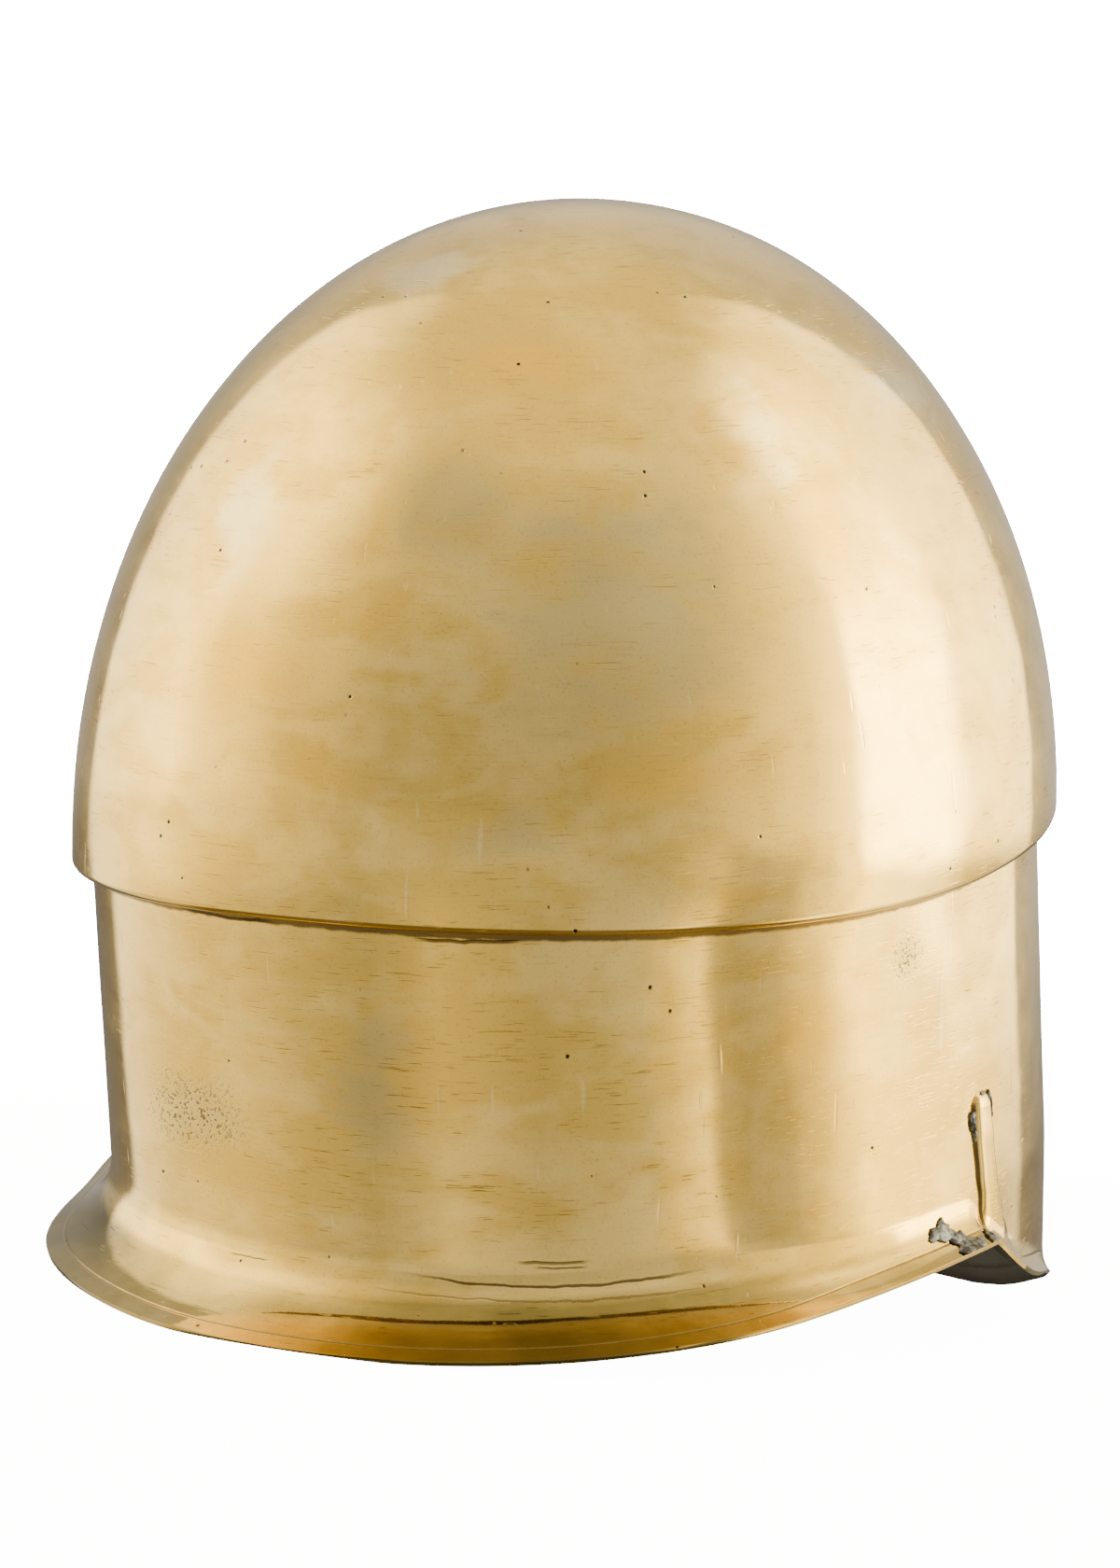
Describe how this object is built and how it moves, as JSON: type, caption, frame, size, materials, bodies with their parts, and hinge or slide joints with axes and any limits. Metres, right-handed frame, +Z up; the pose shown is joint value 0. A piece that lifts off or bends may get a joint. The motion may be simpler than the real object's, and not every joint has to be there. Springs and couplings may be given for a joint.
{
  "type": "corinthian helmet",
  "caption": "Brass Corinthian helmet: tall crown over a stepped wall, flared neck guard, long cheekpieces, nasal and almond eye openings.",
  "frame": {"origin": "on the table, under the middle of the helmet's box as it stands", "axes": "+Z up; the face looks along -Y; the wearer's right side is -X"},
  "size_m": [0.25, 0.3014, 0.2814],
  "materials": {
    "brass_shell": "hand-polished brass with fine brushing outside, blackened inside"
  },
  "bodies": {
    "root": {"helmet_shell": "brass_shell"}
  },
  "joints": []
}
